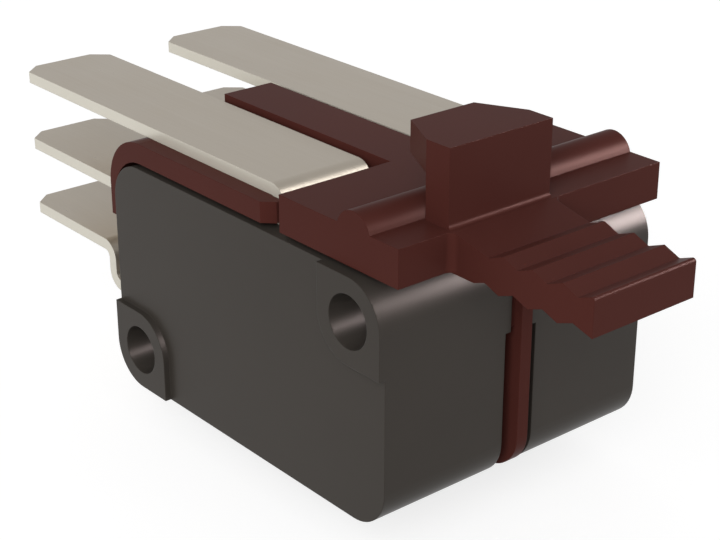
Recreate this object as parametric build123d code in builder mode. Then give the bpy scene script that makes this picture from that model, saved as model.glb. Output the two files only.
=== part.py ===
from build123d import *
import os

# Breaker auxiliary switch: two snap-action switches side by side in one moulded carrier.
# The carrier lies over them, hooks round their terminal end, keeps them apart with a thin
# divider and ends in a latch hook with a ribbed thumb tongue.
# Origin: axis of the front switch's lower mounting hole, at the front boss face.
# +X runs from the tabs to the thumb tongue, +Y from the front switch to the rear one, +Z up.
# The plungers point down. All sizes are in millimetres.

# Case of one switch
case_length = 27.8
case_height = 15.9
case_thickness = 9.44
case_corner = 2.8
case_wall = 1.4
hole_inset = 2.8
hole_diameter = 3.4
hole_land_diameter = 3.0
hole_land_length = 1.3
boss_reach = 5.6
boss_round = 2.8
boss_height = 0.43

# Cover let into the open side of the case, as thick as the floor of the case
cover_rim = 0.7
cover_clearance = 0.04

# Flat tabs and the strips that they are the ends of
tab_width = 6.8
tab_thickness = 0.8
tab_reach = 13.96
tab_pitch = 5.0
tip_cut_along = 1.0
tip_cut_across = 1.15
bend_radius = 0.9
inner_bend_radius = 0.8
slot_clearance = 0.02

# Common terminal: its leg, the lanced anchor beside it and the foot that holds the blade
leg_from_end = 16.64
lance_width = 1.8
lance_length = 1.3
notch_height = 0.5
notch_depth = 0.3
foot_drop = 0.5
foot_length = 2.6
foot_from_far_end = 2.3
shelf_gap = 0.6

# Normally closed and normally open terminals inside the case
nc_wall_over_hole = 0.5
nc_knee_from_end = 3.05
no_knee_from_end = 2.6
strip_end_from_end = 10.2

# Contacts
contact_from_end = 8.0
contact_gap = 0.6
fixed_head_diameter = 3.2
fixed_head_height = 0.6
fixed_shank_diameter = 1.8
moving_head_diameter = 3.0
moving_head_height = 0.5
moving_shank_diameter = 1.6
rivet_clearance = 0.02

# Snap blade of one piece, with the tongue that is compressed against the anchor
blade_thickness = 0.2
blade_width = 4.6
blade_bend_radius = 1.5
blade_nose = 1.8
blade_flat = 2.0
window_width = 2.4
window_play = 0.3
blade_tongue_width = 1.4
blade_tongue_arch = 0.55
blade_tongue_play = 0.1
blade_rivet_diameter = 1.2
blade_rivet_head_diameter = 1.7
blade_rivet_head_height = 0.35

# Plunger
plunger_from_far_end = 7.5
plunger_diameter = 3.0
plunger_free_height = 2.6
plunger_tip_chamfer = 0.5
plunger_clearance = 0.06
plunger_play = 0.15
plunger_stem_diameter = 2.0
flange_length = 4.4
flange_width = 5.2
flange_thickness = 0.8

# Carrier: plate, hooked band at the tabs' end and divider between the switches
carrier_inset = 0.1
plate_gap = 0.33
recess_floor = 1.37
plateau_rise = 1.03
plate_overhang = 0.9
strip_width = 3.98
strip_from_end = 0.7
leg_slot_width = 1.89
leg_slot_gap = 0.04
leg_slot_play = 0.1
leg_nose_reach = 0.7
leg_nose_land = 0.45
leg_nose_gap = 0.05
slot_lip_radius = 0.5
band_thickness = 0.57
band_gap = 0.05
band_drop = 5.9
band_outer_radius = 3.6
band_inner_radius = 3.13
notch_play = 0.15
divider_thickness = 0.9
divider_overhang = 0.5
divider_bottom_rise = 0.45
divider_corner = 2.6
pad_side = 5.2
pad_height = 0.38
stub_clearance = 0.1
stub_length = 1.5

# Carrier: rib, latch hook and thumb tongue
rib_from_far_end = 2.93
rib_radius = 1.48
rib_rise = 1.05
latch_width = 7.98
latch_from_front = 3.95
post_length = 1.9
post_inset = 0.35
hook_underside = 2.82
hook_thickness = 1.95
nose_reach = 3.05
nose_width = 4.93
post_foot_round = 0.3
tongue_side_round = 0.5
tongue_first_valley = 2.9
groove_pitch = 2.2
groove_count = 4
tongue_end_reach = 1.15
valley_drop = 0.65
ridge_drop = 0.21
valley_round = 0.15
belly_depth = 2.6
belly_groove = 0.4
belly_flat_depth = 2.5
belly_shift = 0.25
belly_round = 0.55
tip_round = 0.2

# Places along the case, worked out from the sizes
case_left = -hole_inset
case_right = case_left + case_length
case_bottom = -hole_inset
case_top = case_bottom + case_height
case_middle = (case_left + case_length / 2, case_bottom + case_height / 2)
lower_hole = (0, 0)
upper_hole = (case_right - hole_inset, case_top - hole_inset)
full_thickness = case_thickness + 2 * boss_height
hole_depth = (full_thickness - hole_land_length) / 2
cavity_width = tab_width + 2 * slot_clearance
side_wall = (case_thickness - cavity_width) / 2
plunger_x = case_right - plunger_from_far_end

# The switches stand a divider and its pads apart
switch_pitch = full_thickness + divider_thickness + 2 * pad_height
switch_faces = {"front": boss_height, "rear": boss_height + switch_pitch}
pair_width = switch_pitch + case_thickness

# Levels of the carrier
plate_bottom = case_top + plate_gap
recess_top = plate_bottom + recess_floor
plateau_top = recess_top + plateau_rise
carrier_front = switch_faces["front"] + carrier_inset
carrier_width = pair_width - 2 * carrier_inset
carrier_middle = carrier_front + carrier_width / 2
plate_right = case_right + plate_overhang
band_inner = case_left - band_gap
band_outer = band_inner - band_thickness
band_bottom = recess_top - band_drop

# Levels and places of the terminals, as middle lines of their strips
tab_tip = case_left - tab_reach
common_level = recess_top + tab_thickness / 2
no_level = common_level - tab_pitch
nc_level = no_level - tab_pitch
nc_inner_level = hole_diameter / 2 + nc_wall_over_hole + tab_thickness / 2
leg_x = case_left + leg_from_end
leg_right = leg_x + tab_thickness / 2
leg_left = leg_x - tab_thickness / 2
slot_left = leg_left - leg_slot_gap
plateau_left = slot_left + leg_slot_width
contact_x = case_left + contact_from_end
strip_end = case_left + strip_end_from_end
nc_seat = nc_inner_level + tab_thickness / 2
blade_bottom = nc_seat + fixed_head_height + moving_head_height
blade_top = blade_bottom + blade_thickness
no_seat = blade_top + moving_head_height + contact_gap + fixed_head_height
no_inner_level = no_seat + tab_thickness / 2
foot_top = blade_bottom - foot_drop
foot_level = foot_top - tab_thickness / 2
foot_knee = case_right - foot_from_far_end
foot_end = foot_knee - foot_length
shelf_level = case_top - boss_reach - shelf_gap - tab_thickness / 2
lance_bottom = shelf_level - tab_thickness / 2 - lance_length
blade_anchor_x = (foot_end + foot_knee - tab_thickness / 2 - inner_bend_radius / 2) / 2

# Bends between two levels are no larger than their step allows
step_share = 0.45
nc_bend_radius = min(bend_radius, step_share * (nc_level - nc_inner_level))
foot_bend_radius = min(inner_bend_radius, step_share * (shelf_level - foot_level))

# Places of the latch and the thumb tongue
latch_front = carrier_front + latch_from_front
latch_middle = latch_front + latch_width / 2
post_right = plate_right - post_inset
post_left = post_right - post_length
hook_bottom = plateau_top + hook_underside
first_valley = plate_right + tongue_first_valley
tongue_tip = first_valley + (groove_count - 1) * groove_pitch + tongue_end_reach


def side_plane(y):
    """Plane of a side view at depth y: sketch x is X, sketch y is Z."""
    return Plane.XZ.offset(-y)


def level(z):
    """Plane of a plan view at height z: sketch x is X, sketch y is Y."""
    return Plane.XY.offset(z)


def write(part, name):
    """Label a finished piece and write it as the node of that name."""
    part.label = name
    export_step(part, f"parts/{name}.step")


# The raised corner land round a mounting hole: a square with two opposite corners rounded
with BuildSketch() as corner_land:
    Rectangle(boss_reach, boss_reach)
    fillet(corner_land.vertices().sort_by(lambda v: v.X + v.Y)[0], case_corner)
    fillet(corner_land.vertices().sort_by(lambda v: v.X + v.Y)[-1], boss_round)


def add_corner_lands(mode):
    """Both corner lands in a side view of the case."""
    with Locations((case_left + boss_reach / 2, case_bottom + boss_reach / 2)):
        add(corner_land.sketch, mode=mode)
    with Locations((case_right - boss_reach / 2, case_top - boss_reach / 2)):
        add(corner_land.sketch, rotation=180, mode=mode)


def add_inset_outline(inset):
    """The case's outline in a side view, drawn in by an even inset and clear of the corner lands."""
    with Locations(case_middle):
        RectangleRounded(case_length - 2 * inset, case_height - 2 * inset, max(case_corner - inset, 0.2))
    add_corner_lands(Mode.SUBTRACT)


def add_terminal_slots(play):
    """Side view of the two slots that open to the cover: leg slot above, tab slot at the end."""
    slot = tab_thickness + 2 * play
    with Locations((leg_x, case_top)):
        Rectangle(slot, 2 * case_wall)
    with Locations((case_left, no_level)):
        Rectangle(2 * case_corner, slot)


def make_case(side, face):
    """Moulded case, open towards +Y, with its hole posts in two opposite corners."""
    ledge = face + case_thickness - side_wall
    with BuildPart() as case:
        with BuildSketch(side_plane(face)):
            with Locations(case_middle):
                RectangleRounded(case_length, case_height, case_corner)
        extrude(amount=-case_thickness)
        with BuildSketch(side_plane(face - boss_height)):
            add_corner_lands(Mode.ADD)
        extrude(amount=-full_thickness)
        # cavity for the contacts, then the recess of the cover
        with BuildSketch(side_plane(face + side_wall)):
            add_inset_outline(case_wall)
        extrude(amount=-case_thickness, mode=Mode.SUBTRACT)
        with BuildSketch(side_plane(ledge)):
            add_inset_outline(cover_rim)
        extrude(amount=-case_thickness, mode=Mode.SUBTRACT)
        # slots of the terminals; the closed one crosses the lower hole's post
        with BuildSketch(side_plane(face + side_wall)):
            add_terminal_slots(slot_clearance)
        extrude(amount=-case_thickness, mode=Mode.SUBTRACT)
        with BuildSketch(side_plane(face + side_wall)):
            with Locations((case_left, nc_inner_level)):
                Rectangle(2 * boss_reach, tab_thickness + 2 * slot_clearance)
        extrude(amount=-cavity_width, mode=Mode.SUBTRACT)
        # plunger hole in the lower wall
        with BuildSketch(level(case_bottom)):
            with Locations((plunger_x, face + case_thickness / 2)):
                Circle(plunger_diameter / 2 + plunger_clearance)
        extrude(amount=case_wall, mode=Mode.SUBTRACT)
        # each mounting hole is cored from both sides and keeps a narrow land between
        with BuildSketch(side_plane(face - boss_height)):
            with Locations(lower_hole, upper_hole):
                Circle(hole_land_diameter / 2)
        extrude(amount=-full_thickness, mode=Mode.SUBTRACT)
        for start in (face - boss_height, face - boss_height + full_thickness - hole_depth):
            with BuildSketch(side_plane(start)):
                with Locations(lower_hole, upper_hole):
                    Circle(hole_diameter / 2)
            extrude(amount=-hole_depth, mode=Mode.SUBTRACT)
    write(case.part, f"{side}_case")


def make_cover(side, face):
    """Flat cover on the case's ledge, with tongues that close the two open slots."""
    with BuildPart() as cover:
        with BuildSketch(side_plane(face + case_thickness - side_wall)):
            with BuildSketch(mode=Mode.PRIVATE) as plate:
                add_inset_outline(cover_rim)
            offset(plate.sketch, amount=-cover_clearance)
            with BuildSketch(mode=Mode.PRIVATE) as outline:
                with Locations(case_middle):
                    RectangleRounded(case_length, case_height, case_corner)
            with BuildSketch(mode=Mode.PRIVATE) as tongues:
                add_terminal_slots(-cover_clearance)
                add(outline.sketch, mode=Mode.INTERSECT)
            add(tongues.sketch)
        extrude(amount=-side_wall)
    write(cover.part, f"{side}_cover")


def strip_section(points, radius, y, thickness):
    """Side view, at depth y, of a metal strip that is bent along a middle line in X and Z."""
    with BuildSketch(side_plane(y)) as section:
        with BuildLine():
            FilletPolyline(*points, radius=radius)
        trace(line_width=thickness)
    return section.sketch


def tab_plan(middle_y):
    """Plan of a tab: both corners of its tip are cut off; the rest keeps its full width."""
    half = tab_width / 2
    far = case_right
    with BuildSketch(level(case_bottom)) as plan:
        with BuildLine():
            Polyline(
                (tab_tip, middle_y - half + tip_cut_across),
                (tab_tip + tip_cut_along, middle_y - half),
                (far, middle_y - half),
                (far, middle_y + half),
                (tab_tip + tip_cut_along, middle_y + half),
                (tab_tip, middle_y + half - tip_cut_across),
                close=True,
            )
        make_face()
    return plan.sketch


def cut_rivet_hole(x, middle_y, z, diameter, depth):
    """Round hole for a rivet's shank, centred on level z."""
    with Locations((x, middle_y, z)):
        Cylinder(diameter / 2 + rivet_clearance, 2 * depth, mode=Mode.SUBTRACT)


def make_common_terminal(side, middle_y):
    """Tab over the carrier, leg into the case, shelf over the plunger and foot under the blade."""
    points = (
        (tab_tip, common_level),
        (leg_x, common_level),
        (leg_x, shelf_level),
        (foot_knee, shelf_level),
        (foot_knee, foot_level),
        (foot_end, foot_level),
    )
    radii = (bend_radius, inner_bend_radius, foot_bend_radius, foot_bend_radius)
    section = strip_section(points, radii, middle_y - tab_width / 2, tab_thickness)
    plan = tab_plan(middle_y)
    with BuildPart() as terminal:
        extrude(section, amount=-tab_width)
        extrude(plan, amount=2 * case_height, mode=Mode.INTERSECT)
        # the anchor is lanced out of the shelf and left straight below the leg
        with Locations((leg_right, middle_y, shelf_level)):
            Box(lance_length, lance_width, 2 * tab_thickness, align=(Align.MIN, Align.CENTER, Align.CENTER),
                mode=Mode.SUBTRACT)
        with Locations((leg_x, middle_y, lance_bottom)):
            Box(tab_thickness, lance_width, lance_length + 2 * tab_thickness,
                align=(Align.CENTER, Align.CENTER, Align.MIN))
        with Locations((leg_left, middle_y, lance_bottom + notch_height)):
            Box(2 * notch_depth, lance_width, notch_height, mode=Mode.SUBTRACT)
        cut_rivet_hole(blade_anchor_x, middle_y, foot_level, blade_rivet_diameter, tab_thickness)
    write(terminal.part, f"{side}_common_terminal")


def make_nc_terminal(side, middle_y):
    """Lower tab: it steps down outside the case and runs straight in over the lower hole."""
    knee_x = case_left - nc_knee_from_end
    points = (
        (tab_tip, nc_level),
        (knee_x, nc_level),
        (knee_x, nc_inner_level),
        (strip_end, nc_inner_level),
    )
    section = strip_section(points, nc_bend_radius, middle_y - tab_width / 2, tab_thickness)
    plan = tab_plan(middle_y)
    with BuildPart() as terminal:
        extrude(section, amount=-tab_width)
        extrude(plan, amount=2 * case_height, mode=Mode.INTERSECT)
        cut_rivet_hole(contact_x, middle_y, nc_inner_level, fixed_shank_diameter, tab_thickness)
    write(terminal.part, f"{side}_nc_terminal")


def make_no_terminal(side, middle_y):
    """Middle tab: it runs straight in and steps down inside, over the moving contact."""
    knee_x = case_left + no_knee_from_end
    points = (
        (tab_tip, no_level),
        (knee_x, no_level),
        (knee_x, no_inner_level),
        (strip_end, no_inner_level),
    )
    section = strip_section(points, inner_bend_radius, middle_y - tab_width / 2, tab_thickness)
    plan = tab_plan(middle_y)
    with BuildPart() as terminal:
        extrude(section, amount=-tab_width)
        extrude(plan, amount=2 * case_height, mode=Mode.INTERSECT)
        cut_rivet_hole(contact_x, middle_y, no_inner_level, fixed_shank_diameter, tab_thickness)
    write(terminal.part, f"{side}_no_terminal")


def make_fixed_contact(name, middle_y, seat, up):
    """Rivet contact in a terminal strip: its head stands up or down, its shank ends flush."""
    with BuildPart() as contact:
        with Locations((contact_x, middle_y, seat + up * fixed_head_height / 2)):
            Cylinder(fixed_head_diameter / 2, fixed_head_height)
        with Locations((contact_x, middle_y, seat - up * tab_thickness / 2)):
            Cylinder(fixed_shank_diameter / 2, tab_thickness)
    write(contact.part, name)


def make_moving_contact(side, middle_y):
    """Double-headed rivet contact at the free end of the blade."""
    with BuildPart() as contact:
        for z in (blade_bottom - moving_head_height / 2, blade_top + moving_head_height / 2):
            with Locations((contact_x, middle_y, z)):
                Cylinder(moving_head_diameter / 2, moving_head_height)
        with Locations((contact_x, middle_y, (blade_bottom + blade_top) / 2)):
            Cylinder(moving_shank_diameter / 2, blade_thickness)
    write(contact.part, f"{side}_moving_contact")


def make_blade(side, middle_y):
    """Snap blade: two outer legs in tension, and between them a tongue arched against the anchor."""
    foot_line = foot_top + blade_thickness / 2
    contact_line = (blade_bottom + blade_top) / 2
    nose_x = contact_x - blade_nose
    flat_end = contact_x + blade_flat
    window_left = flat_end - blade_thickness
    window_length = leg_right + window_play - window_left
    anchor_level = lance_bottom + notch_height
    tongue_tip_x = leg_left + notch_depth - blade_tongue_play
    points = (
        (nose_x, contact_line),
        (flat_end, contact_line),
        (foot_end - blade_thickness, foot_line),
        (foot_knee - tab_thickness / 2 - inner_bend_radius / 2, foot_line),
    )
    section = strip_section(points, blade_bend_radius, middle_y - blade_width / 2, blade_thickness)
    with BuildPart() as blade:
        extrude(section, amount=-blade_width)
        with Locations((window_left, middle_y, contact_line)):
            Box(window_length, window_width, 4 * contact_gap, align=(Align.MIN, Align.CENTER, Align.CENTER),
                mode=Mode.SUBTRACT)
        # the arched tongue is formed up from the flat behind the contact
        with BuildSketch(side_plane(middle_y - blade_tongue_width / 2)):
            with BuildLine():
                start = (window_left - blade_thickness, contact_line)
                crest = ((flat_end + tongue_tip_x) / 2, anchor_level + blade_tongue_arch)
                Spline(start, crest, (tongue_tip_x, anchor_level), tangents=((1, 0), (1, -0.25)))
            trace(line_width=blade_thickness)
        extrude(amount=-blade_tongue_width)
        cut_rivet_hole(contact_x, middle_y, contact_line, moving_shank_diameter, blade_thickness)
        cut_rivet_hole(blade_anchor_x, middle_y, foot_line, blade_rivet_diameter, blade_thickness)
    write(blade.part, f"{side}_snap_blade")


def make_blade_rivet(side, middle_y):
    """Rivet that clamps the blade on the foot of the common terminal."""
    clamp_top = foot_top + blade_thickness
    clamp_bottom = foot_top - tab_thickness
    with BuildPart() as rivet:
        with Locations((blade_anchor_x, middle_y, (clamp_top + clamp_bottom) / 2)):
            Cylinder(blade_rivet_diameter / 2, clamp_top - clamp_bottom)
        head = blade_rivet_head_height
        for z in (clamp_top + head / 2, clamp_bottom - head / 2):
            with Locations((blade_anchor_x, middle_y, z)):
                Cylinder(blade_rivet_head_diameter / 2, head)
    write(rivet.part, f"{side}_blade_rivet")


def blade_height_over_plunger():
    """Underside of the resting blade above the plunger's axis."""
    run = foot_end - blade_thickness - contact_x - blade_flat
    share = (foot_end - blade_thickness - plunger_x) / run
    return foot_top + share * (blade_bottom - foot_top)


def make_plunger(side, middle_y):
    """Round plunger with a bevelled tip below the case and a flange that stops it inside."""
    flange_bottom = case_bottom + case_wall
    stem_top = blade_height_over_plunger() - plunger_play
    with BuildPart() as plunger:
        with BuildSketch(level(case_bottom - plunger_free_height)):
            with Locations((plunger_x, middle_y)):
                Circle(plunger_diameter / 2)
        extrude(amount=plunger_free_height + case_wall)
        chamfer(plunger.edges().filter_by(GeomType.CIRCLE).sort_by(Axis.Z)[0], plunger_tip_chamfer)
        with BuildSketch(level(flange_bottom)):
            with Locations((plunger_x, middle_y)):
                Rectangle(flange_length, flange_width)
        extrude(amount=flange_thickness)
        with BuildSketch(level(flange_bottom)):
            with Locations((plunger_x, middle_y)):
                Circle(plunger_stem_diameter / 2)
        extrude(amount=stem_top - flange_bottom)
    write(plunger.part, f"{side}_plunger")


def thumb_tongue_section():
    """Side view of the thumb tongue: zigzag grip on top, shallow waves below."""
    ridge_top = plateau_top - ridge_drop
    valley_top = plateau_top - valley_drop
    belly_low = plateau_top - belly_depth
    belly_high = belly_low + belly_groove
    top = [(plate_right, plateau_top)]
    belly = [(plate_right - plate_overhang / 2, plateau_top - belly_flat_depth)]
    belly.append((first_valley - groove_pitch / 2, plateau_top - belly_flat_depth))
    for number in range(groove_count):
        valley_x = first_valley + number * groove_pitch
        ridge_x = tongue_tip if number == groove_count - 1 else valley_x + groove_pitch / 2
        top += [(valley_x, valley_top), (ridge_x, ridge_top)]
        belly += [(valley_x - belly_shift, belly_high), (ridge_x - belly_shift, belly_low)]
    belly[-1] = (tongue_tip, belly_low)
    start = (plate_right - plate_overhang / 2, plateau_top)
    with BuildSketch(side_plane(latch_front)) as tongue:
        with BuildLine():
            Polyline(start, *top, *reversed(belly), close=True)
        make_face()
        corners = tongue.vertices()
        valleys = [v for v in corners if abs(v.Y - valley_top) < valley_round]
        waves = [v for v in corners if v.Y < belly_high + valley_round and v.X < tongue_tip - belly_shift]
        waves = [v for v in waves if v.X > first_valley - groove_pitch]
        fillet(valleys, valley_round)
        fillet(waves, belly_round)
        fillet(tongue.vertices().group_by(Axis.X)[-1].sort_by(Axis.Y)[-1], tip_round)
    return tongue.sketch


def leg_slot_plan(middle_y, outer_face, outward):
    """Plan of the slot for a leg: a nose with a slanted lead-in covers part of its open side."""
    inner_end = middle_y - outward * (tab_width / 2 + leg_slot_play)
    nose_back = middle_y + outward * (tab_width / 2 + leg_nose_gap)
    with BuildSketch(level(plate_bottom - plate_gap / 2)) as plan:
        with BuildLine():
            Polyline(
                (slot_left, inner_end),
                (plateau_left, inner_end),
                (plateau_left, outer_face + outward * plate_gap),
                (slot_left, outer_face + outward * plate_gap),
                (slot_left, outer_face),
                (slot_left + leg_nose_reach, nose_back + outward * leg_nose_land),
                (slot_left + leg_nose_reach, nose_back),
                (slot_left, nose_back),
                close=True,
            )
        make_face()
    return plan.sketch


def make_carrier():
    """One moulding: plate, hooked band, divider with pads and stubs, rib, latch hook and tongue."""
    divider_front = carrier_middle - divider_thickness / 2
    divider_right = case_right + divider_overhang
    divider_bottom = case_bottom + divider_bottom_rise
    stub_radius = hole_diameter / 2 - stub_clearance
    tongue = thumb_tongue_section()
    with BuildPart() as carrier:
        # hooked plate in side view, at the level of the two recess floors
        with BuildSketch(side_plane(carrier_front)) as hook:
            with BuildLine():
                Polyline(
                    (band_outer, band_bottom),
                    (band_outer, recess_top),
                    (plate_right, recess_top),
                    (plate_right, plate_bottom),
                    (band_inner, plate_bottom),
                    (band_inner, band_bottom),
                    close=True,
                )
            make_face()
            outer_corner = hook.vertices().sort_by_distance((band_outer, recess_top))[0]
            fillet(outer_corner, band_outer_radius)
            inner_corner = hook.vertices().sort_by_distance((band_inner, plate_bottom))[0]
            fillet(inner_corner, band_inner_radius)
        extrude(amount=-carrier_width)
        # plateau and the strip between the two common tabs
        with BuildSketch(level(recess_top - recess_floor / 2)):
            with Locations((plateau_left, carrier_front)):
                Rectangle(plate_right - plateau_left, carrier_width, align=(Align.MIN, Align.MIN))
            with Locations((case_left + strip_from_end, carrier_middle)):
                Rectangle(plateau_left - case_left, strip_width, align=(Align.MIN, Align.CENTER))
        extrude(amount=recess_floor / 2 + plateau_rise)
        # each leg passes a slot that is open to the outer side and is caught there behind a nose
        for face, outward in ((switch_faces["front"], -1), (switch_faces["rear"], 1)):
            middle_y = face + case_thickness / 2
            outer_face = carrier_middle + outward * carrier_width / 2
            plan = leg_slot_plan(middle_y, outer_face, outward)
            extrude(plan, amount=recess_floor + plate_gap + plateau_rise, mode=Mode.SUBTRACT)
            # the middle tab passes a notch that is open at the band's lower edge
            with Locations((band_inner, middle_y, band_bottom)):
                Box(4 * band_thickness, tab_width + 2 * notch_play,
                    2 * (no_level + tab_thickness / 2 + notch_play - band_bottom), mode=Mode.SUBTRACT)
        lips = carrier.edges().filter_by(Axis.Y)
        lips = [e for e in lips if abs(e.center().X - slot_left) < slot_clearance]
        fillet([e for e in lips if abs(e.center().Z - recess_top) < slot_clearance], slot_lip_radius)
        # divider with a pad and a stub on both sides at each mounting hole
        with BuildSketch(side_plane(divider_front)) as web:
            with BuildLine():
                Polyline(
                    (band_inner, plate_bottom + recess_floor / 2),
                    (divider_right, plate_bottom + recess_floor / 2),
                    (divider_right, divider_bottom),
                    (case_left, divider_bottom),
                    (case_left, band_bottom),
                    (band_inner, band_bottom),
                    close=True,
                )
            make_face()
            low = web.vertices().group_by(Axis.Y)[0]
            fillet(low, divider_corner)
        extrude(amount=-divider_thickness)
        for hole_x, hole_z in (lower_hole, upper_hole):
            with Locations(Location((hole_x, carrier_middle, hole_z), (90, 0, 0))):
                Box(pad_side, pad_side, divider_thickness + 2 * pad_height)
                Cylinder(stub_radius, divider_thickness + 2 * (pad_height + stub_length))
        # half-round rib across the plate
        with BuildSketch(side_plane(carrier_front)):
            with Locations((case_right - rib_from_far_end, plateau_top + rib_rise - rib_radius)):
                Circle(rib_radius)
        extrude(amount=-carrier_width)
        extrude(tongue, amount=-latch_width)
        # latch post and its hook with a blunt nose over the rib
        with BuildSketch(level(plateau_top - recess_floor / 2)):
            with Locations((post_left, latch_front)):
                Rectangle(post_length, latch_width, align=(Align.MIN, Align.MIN))
        extrude(amount=hook_bottom - plateau_top + recess_floor / 2)
        with BuildSketch(level(hook_bottom)):
            with BuildLine():
                Polyline(
                    (post_right, latch_front),
                    (post_right, latch_front + latch_width),
                    (post_left, latch_front + latch_width),
                    (post_left - nose_reach, latch_middle + nose_width / 2),
                    (post_left - nose_reach, latch_middle - nose_width / 2),
                    (post_left, latch_front),
                    close=True,
                )
            make_face()
        extrude(amount=hook_thickness)
        # small radii at the post's foot and where the tongue leaves the plate's end
        feet = carrier.edges().filter_by(Axis.Y)
        feet = [e for e in feet if abs(e.center().X - post_right) < slot_clearance]
        fillet([e for e in feet if abs(e.center().Z - plateau_top) < slot_clearance], post_foot_round)
        roots = carrier.edges().filter_by(Axis.Z)
        roots = [e for e in roots if abs(e.center().X - plate_right) < slot_clearance]
        roots = [e for e in roots if abs(abs(e.center().Y - latch_middle) - latch_width / 2) < slot_clearance]
        fillet(roots, tongue_side_round)
    write(carrier.part, "carrier")


os.makedirs("parts", exist_ok=True)
make_carrier()
for side, face in switch_faces.items():
    middle = face + case_thickness / 2
    make_case(side, face)
    make_cover(side, face)
    make_common_terminal(side, middle)
    make_nc_terminal(side, middle)
    make_no_terminal(side, middle)
    make_fixed_contact(f"{side}_nc_contact", middle, nc_seat, 1)
    make_fixed_contact(f"{side}_no_contact", middle, no_seat, -1)
    make_moving_contact(side, middle)
    make_blade(side, middle)
    make_blade_rivet(side, middle)
    make_plunger(side, middle)
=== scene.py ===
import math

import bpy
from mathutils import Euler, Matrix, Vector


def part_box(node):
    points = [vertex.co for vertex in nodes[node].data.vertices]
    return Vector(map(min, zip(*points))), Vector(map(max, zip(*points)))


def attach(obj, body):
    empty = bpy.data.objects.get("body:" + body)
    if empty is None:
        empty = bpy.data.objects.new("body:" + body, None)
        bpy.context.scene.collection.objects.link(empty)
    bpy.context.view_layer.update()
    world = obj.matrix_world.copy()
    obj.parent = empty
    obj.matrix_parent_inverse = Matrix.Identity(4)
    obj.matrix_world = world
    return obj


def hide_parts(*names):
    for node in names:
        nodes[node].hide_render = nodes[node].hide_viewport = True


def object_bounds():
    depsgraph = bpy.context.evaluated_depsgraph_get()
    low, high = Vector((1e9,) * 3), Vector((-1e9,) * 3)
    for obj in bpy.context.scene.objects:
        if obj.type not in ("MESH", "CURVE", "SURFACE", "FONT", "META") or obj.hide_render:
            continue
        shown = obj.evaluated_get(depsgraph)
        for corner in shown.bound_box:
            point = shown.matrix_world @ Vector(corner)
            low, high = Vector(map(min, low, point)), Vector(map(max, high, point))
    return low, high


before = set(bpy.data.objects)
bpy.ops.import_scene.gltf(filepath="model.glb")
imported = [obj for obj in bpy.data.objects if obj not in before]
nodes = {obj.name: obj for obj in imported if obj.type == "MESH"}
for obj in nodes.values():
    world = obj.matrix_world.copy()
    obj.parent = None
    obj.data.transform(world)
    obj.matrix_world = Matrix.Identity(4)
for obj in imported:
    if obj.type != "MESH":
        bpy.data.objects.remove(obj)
cad_low, cad_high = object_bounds()

# %% [markdown]
# A breaker auxiliary switch. Two grey snap-action switches sit side by side under one brown
# moulded carrier, and six plated tabs stand out at one end. The CAD model already has every
# piece at its true size and place, so this file gives the pieces their finish, makes the rivets'
# heads domed, and sets up a plain pale studio with the photograph's camera.

sides = ("front", "rear")
mm = 0.001
print("pieces in the frame:", len(nodes))

# %% [markdown]
# The camera comes first, because everything is judged through it. Its place was worked out from
# the edges in the photograph: the lens is long, and the view is a little from above, from the
# front right. The photograph is 720 pixels wide.

# %% Camera
photo_width_px = 720
focal_length_px = 1692.9
sensor_width = 36.0
camera_place = Vector((88.86, -54.71, 51.77)) * mm
looks_down = 23.92
turned_left = 50.15

lens = bpy.data.cameras.new("studio_camera")
lens.sensor_width = sensor_width
lens.lens = focal_length_px / photo_width_px * sensor_width
lens.clip_start = 1 * mm
lens.clip_end = 10.0
camera = bpy.data.objects.new("studio_camera", lens)
camera.location = camera_place
camera.rotation_euler = Euler((math.radians(90 - looks_down), 0, math.radians(turned_left)))
bpy.context.scene.collection.objects.link(camera)
bpy.context.scene.camera = camera
print("lens", round(lens.lens, 2), "mm")

# %% [markdown]
# A material is a small network of nodes. The helpers below keep each one short: one starts a
# material and hands back its main shader, one adds a node and joins its inputs, and one gives
# the place on the piece, in metres, that every pattern is read from.

# %% Material helpers
def new_finish(name):
    """A new material: its node tree and its main shader."""
    material = bpy.data.materials.new(name)
    material.use_nodes = True
    return material, material.node_tree, material.node_tree.nodes["Principled BSDF"]


def add_node(tree, kind, inputs=None, **settings):
    """Add a node, set its properties, and set or join its inputs."""
    node = tree.nodes.new(kind)
    for key, value in settings.items():
        setattr(node, key, value)
    for key, value in (inputs or {}).items():
        if isinstance(value, bpy.types.NodeSocket):
            tree.links.new(value, node.inputs[key])
        else:
            node.inputs[key].default_value = value
    return node


def place_on_piece(tree):
    """The socket that gives a point's place on the piece."""
    return add_node(tree, "ShaderNodeTexCoord").outputs["Object"]


def stretched(tree, place, scale):
    """The same place with each direction stretched or squeezed by its own factor."""
    return add_node(tree, "ShaderNodeMapping", {"Vector": place, "Scale": scale}).outputs["Vector"]


def mapped(tree, value, low, high, from_low=0.0, from_high=1.0):
    """A number moved from one range into another."""
    node = add_node(tree, "ShaderNodeMapRange", {
        "Value": value, "From Min": from_low, "From Max": from_high, "To Min": low, "To Max": high})
    return node.outputs["Result"]


print("helpers ready")

# %% [markdown]
# Moulded plastic is never quite even. Under a lens its skin is a fine spark-eroded grain, the
# colour drifts a little where the melt flowed, and the gloss changes with it. Two noises do this:
# a large, soft one for colour and gloss, and a very small one for the grain in the bump. A bevel
# node rounds the light on the mould's sharp corners.

# %% Moulded plastic
flow_scale = 95.0        # waves of the melt's flow in a metre, about 10 mm each
gloss_swing = 0.03       # how far the gloss goes up and down with the flow


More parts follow.
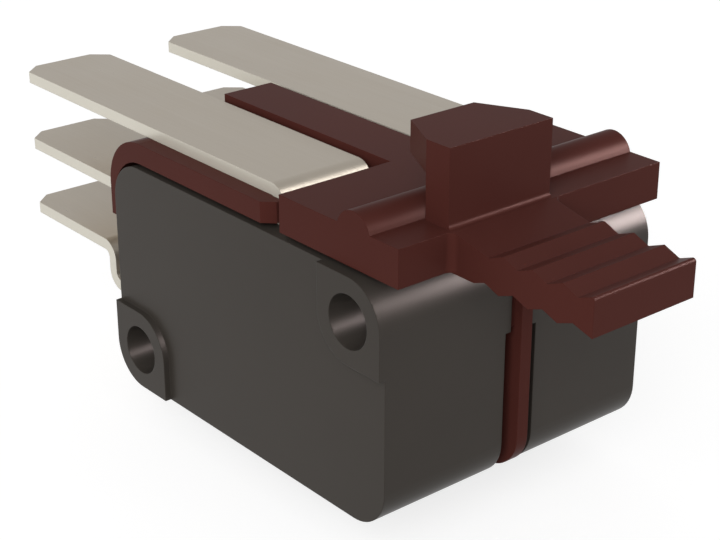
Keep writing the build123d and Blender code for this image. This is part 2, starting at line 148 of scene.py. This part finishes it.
def moulded_plastic(name, colour, drift, gloss, grain_size, grain_depth, edge):
    """Satin plastic: a base colour with slow drift, a fine skin grain and softened corners."""
    material, tree, shader = new_finish(name)
    place = place_on_piece(tree)
    flow = add_node(tree, "ShaderNodeTexNoise", {
        "Vector": place, "Scale": flow_scale, "Detail": 3.0, "Roughness": 0.55})
    tint = add_node(tree, "ShaderNodeMix", {
        "Factor": mapped(tree, flow.outputs["Fac"], 0.0, 1.0, 0.35, 0.65),
        "A": (*[c * (1 - drift) for c in colour], 1), "B": (*[c * (1 + drift) for c in colour], 1)},
        data_type="RGBA")
    tree.links.new(tint.outputs[2], shader.inputs["Base Color"])
    tree.links.new(mapped(tree, flow.outputs["Fac"], gloss - gloss_swing, gloss + gloss_swing),
                   shader.inputs["Roughness"])
    grain = add_node(tree, "ShaderNodeTexNoise", {
        "Vector": place, "Scale": 1 / (grain_size * mm), "Detail": 2.0})
    round_edge = add_node(tree, "ShaderNodeBevel", {"Radius": edge * mm}, samples=6)
    bump = add_node(tree, "ShaderNodeBump", {
        "Strength": 1.0, "Distance": grain_depth * mm, "Height": grain.outputs["Fac"],
        "Normal": round_edge.outputs["Normal"]})
    tree.links.new(bump.outputs["Normal"], shader.inputs["Normal"])
    return material, shader


brown, brown_shader = moulded_plastic("brown_carrier_plastic", (0.0830, 0.0238, 0.0188), 0.04, 0.38,
                                      grain_size=0.12, grain_depth=0.0012, edge=0.05)
brown_shader.inputs["Specular IOR Level"].default_value = 0.032
brown_shader.inputs["Specular Tint"].default_value = (1.0, 0.42, 0.36, 1)
grey, grey_shader = moulded_plastic("grey_housing_plastic", (0.0515, 0.0445, 0.0378), 0.03, 0.36,
                                    grain_size=0.10, grain_depth=0.0010, edge=0.08)
grey_shader.inputs["Specular IOR Level"].default_value = 0.10
grey_shader.inputs["Specular Tint"].default_value = (1.0, 0.95, 0.95, 1)
black = moulded_plastic("plunger_plastic", (0.030, 0.028, 0.026), 0.05, 0.35,
                        grain_size=0.10, grain_depth=0.0010, edge=0.08)[0]
print("plastics:", brown.name, grey.name, black.name)

# %% [markdown]
# The tabs are strip metal with a tin plate. Rolling leaves very fine lines along the strip and
# the plating clouds them, so the gloss has a stretched noise along X and a soft one over it. The
# press tool shears the long sides, which all face along Y. A sheared side is torn metal, much more
# matt than the rolled faces. Its colour is also painted paler, a painted highlight for the light
# that falls on the tabs' long edges. The piece's own normal picks these sides out.

# %% Plated and spring metals
rolled_lines = (90.0, 6500.0, 6500.0)    # lines in a metre: long along X, fine across it
cloud_scale = 260.0
gloss_range = 0.07
torn_metallic = 0.25                     # a sheared side is nearly matt
torn_and_lit_starts, torn_and_lit_whole = 0.75, 0.9      # how squarely a face looks along Y to count as sheared


def strip_metal(name, colour, metallic, gloss, lines, cloud, edge, sheared_and_lit=None):
    """Rolled metal: fine lines along the strip, soft clouding and, if given, matt sheared sides painted
    paler as painted light.
    """
    material, tree, shader = new_finish(name)
    shader.inputs["Metallic"].default_value = metallic
    place = place_on_piece(tree)
    rolled = add_node(tree, "ShaderNodeTexNoise", {
        "Vector": stretched(tree, place, rolled_lines), "Scale": 1.0, "Detail": 2.0})
    clouds = add_node(tree, "ShaderNodeTexNoise", {
        "Vector": place, "Scale": cloud_scale, "Detail": 4.0, "Roughness": 0.6})
    tint = add_node(tree, "ShaderNodeMix", {
        "Factor": mapped(tree, clouds.outputs["Fac"], 0.0, 1.0, 0.3, 0.7),
        "A": (*[c * (1 - cloud) for c in colour], 1), "B": (*[c * (1 + cloud) for c in colour], 1)},
        data_type="RGBA")
    tree.links.new(tint.outputs[2], shader.inputs["Base Color"])
    if sheared_and_lit:
        # Faces that look along Y get a matt torn finish and a paler colour, which is painted light that
        # brightens the tabs' long edges.
        facing = add_node(tree, "ShaderNodeSeparateXYZ", {
            0: add_node(tree, "ShaderNodeTexCoord").outputs["Normal"]}).outputs["Y"]
        either_way = add_node(tree, "ShaderNodeMath", {0: facing}, operation="ABSOLUTE").outputs[0]
        side_face = mapped(tree, either_way, 0.0, 1.0, torn_and_lit_starts, torn_and_lit_whole)
        torn_and_lit = add_node(tree, "ShaderNodeMix", {
            "Factor": side_face, "A": tint.outputs[2], "B": (*sheared_and_lit, 1)}, data_type="RGBA")
        tree.links.new(torn_and_lit.outputs[2], shader.inputs["Base Color"])
        tree.links.new(mapped(tree, side_face, metallic, torn_metallic), shader.inputs["Metallic"])
    mixed = add_node(tree, "ShaderNodeMath", {0: rolled.outputs["Fac"], 1: clouds.outputs["Fac"]},
                     operation="ADD")
    tree.links.new(mapped(tree, mixed.outputs["Value"], gloss - gloss_range, gloss + gloss_range, 0.6, 1.4),
                   shader.inputs["Roughness"])
    round_edge = add_node(tree, "ShaderNodeBevel", {"Radius": edge * mm}, samples=6)
    bump = add_node(tree, "ShaderNodeBump", {
        "Strength": 1.0, "Distance": lines * mm, "Height": rolled.outputs["Fac"],
        "Normal": round_edge.outputs["Normal"]})
    tree.links.new(bump.outputs["Normal"], shader.inputs["Normal"])
    return material


# The paler colour given for the sheared sides is painted light on the tabs' long edges, on top of their
# matt finish.
plated = strip_metal("tin_plated_strip", (0.600, 0.535, 0.448), 0.75, 0.34,
                     lines=0.0006, cloud=0.02, edge=0.06, sheared_and_lit=(0.74, 0.70, 0.60))
spring = strip_metal("copper_alloy_strip", (0.76, 0.50, 0.30), 0.9, 0.28,
                     lines=0.0005, cloud=0.03, edge=0.02)
silver = strip_metal("silver_contact_metal", (0.86, 0.84, 0.80), 0.9, 0.25,
                     lines=0.0004, cloud=0.02, edge=0.04)
print("metals:", plated.name, spring.name, silver.name)

# %% [markdown]
# Each CAD piece keeps its mesh and gets its finish. The tabs, the springs and the rivets share
# their finishes, as they share a coil of strip or a wire on the real switch.

# %% Finishes on the CAD pieces
finish_of = {
    "carrier": brown,
    "case": grey,
    "cover": grey,
    "plunger": black,
    "common_terminal": plated,
    "nc_terminal": plated,
    "no_terminal": plated,
    "snap_blade": spring,
    "blade_rivet": silver,
    "moving_contact": silver,
    "nc_contact": silver,
    "no_contact": silver,
}
for name, piece in nodes.items():
    kind = name.removeprefix("front_").removeprefix("rear_")
    piece.data.materials.clear()
    piece.data.materials.append(finish_of[kind])
print("finished", len(nodes), "pieces")

# %% [markdown]
# Inside each switch the current crosses at rivets headed from silver wire. Each has a short
# shank, and heads that are a little domed, so that two of them touch at one point. They repeat
# eight times in four sizes, so one Geometry Nodes tree makes them all. It starts from a cylinder
# of radius 1 with five bands of faces, and moves its six rings to the rivet's own radii and
# levels. The ends are domed by the distance from the middle. The finish is set in the tree too.

# %% Rivet tree
rivet_tree = bpy.data.node_groups.new("domed_rivet", "GeometryNodeTree")
rivet_tree.interface.new_socket("Rivet", in_out="OUTPUT", socket_type="NodeSocketGeometry")
for size_name in ("Low Head Radius", "Low Head Height", "Low Dome", "Shank Radius", "Shank Length",
                  "High Head Radius", "High Head Height", "High Dome"):
    rivet_tree.interface.new_socket(size_name, in_out="INPUT", socket_type="NodeSocketFloat")
rivet_tree.interface.new_socket("Foot", in_out="INPUT", socket_type="NodeSocketVector")
rivet_tree.interface.new_socket("Finish", in_out="INPUT", socket_type="NodeSocketMaterial")
rivet_inputs = {item.name: item.identifier for item in rivet_tree.interface.items_tree
                if item.in_out == "INPUT"}
print("rivet inputs:", ", ".join(rivet_inputs))


# %% Rivet tree: rings moved to their places
def by_ring(ring, values):
    """The value that belongs to this ring of the rivet, counted from its foot."""
    switch = rivet_tree.nodes.new("GeometryNodeIndexSwitch")
    switch.data_type = "FLOAT"
    while len(switch.index_switch_items) < len(values):
        switch.index_switch_items.new()
    rivet_tree.links.new(ring, switch.inputs["Index"])
    for number, value in enumerate(values):
        if isinstance(value, bpy.types.NodeSocket):
            rivet_tree.links.new(value, switch.inputs[number + 1])
        else:
            switch.inputs[number + 1].default_value = value
    return switch.outputs[0]


def math_of(kind, first, second):
    """One arithmetic node of the rivet tree."""
    return add_node(rivet_tree, "ShaderNodeMath", {0: first, 1: second}, operation=kind).outputs[0]


bands = 5
ring_nudge = 0.01   # keeps a ring's number from being rounded down to the one below
given = rivet_tree.nodes.new("NodeGroupInput").outputs
blank = add_node(rivet_tree, "GeometryNodeMeshCylinder", {
    "Vertices": 48, "Side Segments": bands, "Fill Segments": 6, "Radius": 1.0, "Depth": float(bands)})
at = add_node(rivet_tree, "ShaderNodeSeparateXYZ", {
    0: rivet_tree.nodes.new("GeometryNodeInputPosition").outputs[0]}).outputs
ring = math_of("ADD", at["Z"], bands / 2 + ring_nudge)
squares = math_of("ADD", math_of("POWER", at["X"], 2.0), math_of("POWER", at["Y"], 2.0))
from_middle = math_of("SQRT", squares, 0.0)
radius = by_ring(ring, [given["Low Head Radius"]] * 2 + [given["Shank Radius"]] * 2
                 + [given["High Head Radius"]] * 2)
shank_top = math_of("ADD", given["Low Head Height"], given["Shank Length"])
level = by_ring(ring, [0.0] + [given["Low Head Height"]] * 2 + [shank_top] * 2
                + [math_of("ADD", shank_top, given["High Head Height"])])
lowered = math_of("MULTIPLY", given["High Dome"], -1.0)
dome = by_ring(ring, [given["Low Dome"], 0.0, 0.0, 0.0, 0.0, lowered])
domed_level = math_of("ADD", level, math_of("MULTIPLY", dome, math_of("POWER", from_middle, 3.0)))
moved = add_node(rivet_tree, "ShaderNodeCombineXYZ", {
    "X": math_of("MULTIPLY", at["X"], radius), "Y": math_of("MULTIPLY", at["Y"], radius), "Z": domed_level})
print("rivet tree so far:", len(rivet_tree.nodes), "nodes")

# %% Rivet tree: one closed shell in its place, with its finish
shaped = add_node(rivet_tree, "GeometryNodeSetPosition", {
    "Geometry": blank.outputs["Mesh"], "Position": moved.outputs["Vector"]})
closed = add_node(rivet_tree, "GeometryNodeMergeByDistance", {
    "Geometry": shaped.outputs["Geometry"], "Distance": 0.002 * mm})
placed = add_node(rivet_tree, "GeometryNodeTransform", {
    "Geometry": closed.outputs["Geometry"], "Translation": given["Foot"]})
real = add_node(rivet_tree, "GeometryNodeRealizeInstances", {"Geometry": placed.outputs["Geometry"]})
finished = add_node(rivet_tree, "GeometryNodeSetMaterial", {
    "Geometry": real.outputs["Geometry"], "Material": given["Finish"]})
rivet_out = rivet_tree.nodes.new("NodeGroupOutput")
rivet_tree.links.new(finished.outputs["Geometry"], rivet_out.inputs["Rivet"])
print("rivet tree:", len(rivet_tree.nodes), "nodes")

# %% [markdown]
# Each kind of rivet has its sizes in millimetres: a head's radius, height and dome, and the
# shank's radius and length. A fixed contact has one head, and its shank
# ends flush with the strip, so its other head is as narrow as the shank and has no height. The
# rivet's foot is the middle of the lowest face of its CAD node, and its domes reach the CAD
# heads' faces and no further, so the contacts still meet where they should.

# %% Rivets
rivet_sizes = {
    "nc_contact": dict(low=(0.9, 0.0, 0.0), shank=(0.9, 0.8), high=(1.6, 0.6, 0.18)),
    "no_contact": dict(low=(1.6, 0.6, 0.18), shank=(0.9, 0.8), high=(0.9, 0.0, 0.0)),
    "moving_contact": dict(low=(1.5, 0.5, 0.15), shank=(0.8, 0.2), high=(1.5, 0.5, 0.15)),
    "blade_rivet": dict(low=(0.85, 0.35, 0.14), shank=(0.6, 1.0), high=(0.85, 0.35, 0.14)),
}


def make_rivet(node, sizes):
    """Run the tree once with this rivet's sizes, and keep the result as a plain mesh."""
    low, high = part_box(node)
    rivet = bpy.data.objects.new(node + "_domed", bpy.data.meshes.new(node + "_domed"))
    bpy.context.scene.collection.objects.link(rivet)
    modifier = rivet.modifiers.new("domed_rivet", "NODES")
    modifier.node_group = rivet_tree
    values = dict(zip(("Low Head Radius", "Low Head Height", "Low Dome"), sizes["low"]))
    values.update(zip(("Shank Radius", "Shank Length"), sizes["shank"]))
    values.update(zip(("High Head Radius", "High Head Height", "High Dome"), sizes["high"]))
    for name, value in values.items():
        modifier[rivet_inputs[name]] = value * mm
    modifier[rivet_inputs["Foot"]] = ((low[0] + high[0]) / 2, (low[1] + high[1]) / 2, low[2])
    modifier[rivet_inputs["Finish"]] = silver
    graph = bpy.context.evaluated_depsgraph_get()
    mesh = bpy.data.meshes.new_from_object(rivet.evaluated_get(graph), depsgraph=graph)
    rivet.modifiers.clear()
    rivet.data = mesh
    mesh.shade_smooth()
    mesh.set_sharp_from_angle(angle=math.radians(35))
    return rivet


for side in sides:
    for kind, sizes in rivet_sizes.items():
        node = f"{side}_{kind}"
        rivet = make_rivet(node, sizes)
        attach(rivet, f"{side}_contact_arm" if kind == "moving_contact" else "switch_unit")
        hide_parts(node)
        print(rivet.name, "has", len(rivet.data.polygons), "faces")

# %% [markdown]
# The studio is a wide pale floor. The camera looks down, so the floor is all that it sees behind
# the switch. A camera ray, a glossy ray and a transmission
# ray find the floor lifted to white, so the plated edges mirror a white studio, while the floor
# is lit as any floor is and keeps the switch's soft shadow.

# %% Floor
floor_drop = 0.3 * mm
floor_size = 3.0
floor_lift = 0.76
floor_colour = (0.40, 0.40, 0.40, 1)
floor_mesh = bpy.data.meshes.new("studio_floor")
half = floor_size / 2
floor_level = cad_low.z - floor_drop
floor_mesh.from_pydata([(-half, -half, floor_level), (half, -half, floor_level),
                        (half, half, floor_level), (-half, half, floor_level)], [], [(0, 1, 2, 3)])
floor = bpy.data.objects.new("studio_floor", floor_mesh)
bpy.context.scene.collection.objects.link(floor)


def seen_directly(tree):
    """One for a camera, glossy or transmission ray, nothing for the light that spreads."""
    path = add_node(tree, "ShaderNodeLightPath")
    either = path.outputs["Is Camera Ray"]
    for ray in ("Is Glossy Ray", "Is Transmission Ray"):
        either = add_node(tree, "ShaderNodeMath", {0: either, 1: path.outputs[ray]},
                          operation="MAXIMUM").outputs[0]
    return either


floor_finish, floor_tree, floor_shader = new_finish("pale_floor")
floor_shader.inputs["Base Color"].default_value = floor_colour
floor_shader.inputs["Roughness"].default_value = 0.9
floor_shader.inputs["Specular IOR Level"].default_value = 0.0
floor_shader.inputs["Emission Color"].default_value = (1, 1, 1, 1)
glow = add_node(floor_tree, "ShaderNodeMath", {0: seen_directly(floor_tree), 1: floor_lift},
                operation="MULTIPLY")
floor_tree.links.new(glow.outputs[0], floor_shader.inputs["Emission Strength"])
floor_mesh.materials.append(floor_finish)
print("floor at", round(floor_level / mm, 2), "mm")

# %% [markdown]
# The sky is a plain grey gradient: a white strip of wall at the horizon, grey walls above it and a
# darker ceiling. The upper faces then stay a little darker than the sides, and flat metal that
# mirrors the walls keeps its mid grey.

# %% Sky
bpy.context.scene.view_settings.view_transform = "Standard"
sky_levels = {0.0: 1.0, 0.06: 0.70, 1.0: 0.36}
sky = bpy.data.worlds.new("studio_sky")
sky.use_nodes = True
sky_tree = sky.node_tree
backdrop = sky_tree.nodes["Background"]
direction = add_node(sky_tree, "ShaderNodeTexCoord").outputs["Generated"]
height = add_node(sky_tree, "ShaderNodeSeparateXYZ", {0: direction}).outputs["Z"]
walls = add_node(sky_tree, "ShaderNodeValToRGB", {"Fac": height})
steps = walls.color_ramp.elements
while len(steps) < len(sky_levels):
    steps.new(0.5)
for step, (up, level) in zip(steps, sky_levels.items()):
    step.position = up
    step.color = (level, level, level, 1)
sky_tree.links.new(walls.outputs["Color"], backdrop.inputs["Color"])
bpy.context.scene.world = sky
print("sky levels", sky_levels)

# %% [markdown]
# One soft lamp lights the switch, and two more draw its sheen. The key lamp hangs beside the
# camera, on the side of the long faces, so its shadows fall behind the switch. Glossy rays don't
# see it, so that no flat tab glares white from the far side. The gloss lamp is small and close,
# behind the right end, where the rounded corners and the rib's flank mirror it as thin light
# lines that grow towards the far switch. Only glossy rays see it, so it draws the sheen and
# leaves the plain level of the light as it is. Light linking keeps it to the moulded pieces,
# because flat metal would mirror it as a glare. A larger and far weaker lamp, higher up, does
# the same for the bends of the tabs.

# %% Lamps
def soft_lamp(name, towards, distance, size, watts):
    """A square lamp in the given direction from the switch, turned to face it."""
    centre = (cad_low + cad_high) / 2
    light = bpy.data.lights.new(name, "AREA")
    light.shape = "SQUARE"
    light.size = size
    light.energy = watts
    lamp = bpy.data.objects.new(name, light)
    lamp.location = centre + Vector(towards).normalized() * distance
    lamp.rotation_euler = (centre - lamp.location).to_track_quat("-Z", "Y").to_euler()
    lamp.visible_camera = False
    bpy.context.scene.collection.objects.link(lamp)
    return lamp


key = soft_lamp("key_lamp", (0.50, -0.72, 0.48), distance=0.7, size=0.50, watts=2.65)
key.visible_glossy = False
gloss = soft_lamp("gloss_lamp", (0.60, 0.70, 0.38), distance=0.085, size=0.030, watts=0.27)
gloss.visible_diffuse = False
gloss.data.use_shadow = False
moulded = bpy.data.collections.new("moulded_pieces")
for name, piece in nodes.items():
    if piece.data.materials[0] in (brown, grey):
        moulded.objects.link(piece)
gloss.light_linking.receiver_collection = moulded
bend = soft_lamp("bend_lamp", (0.42, 0.58, 0.70), distance=0.5, size=0.20, watts=0.40)
bend.visible_diffuse = False
bend.data.use_shadow = False
gloss.data.color = (1.0, 0.86, 0.83)
gloss.data.cycles.use_multiple_importance_sampling = False
print("key", key.data.energy, "W, gloss", gloss.data.energy, "W")
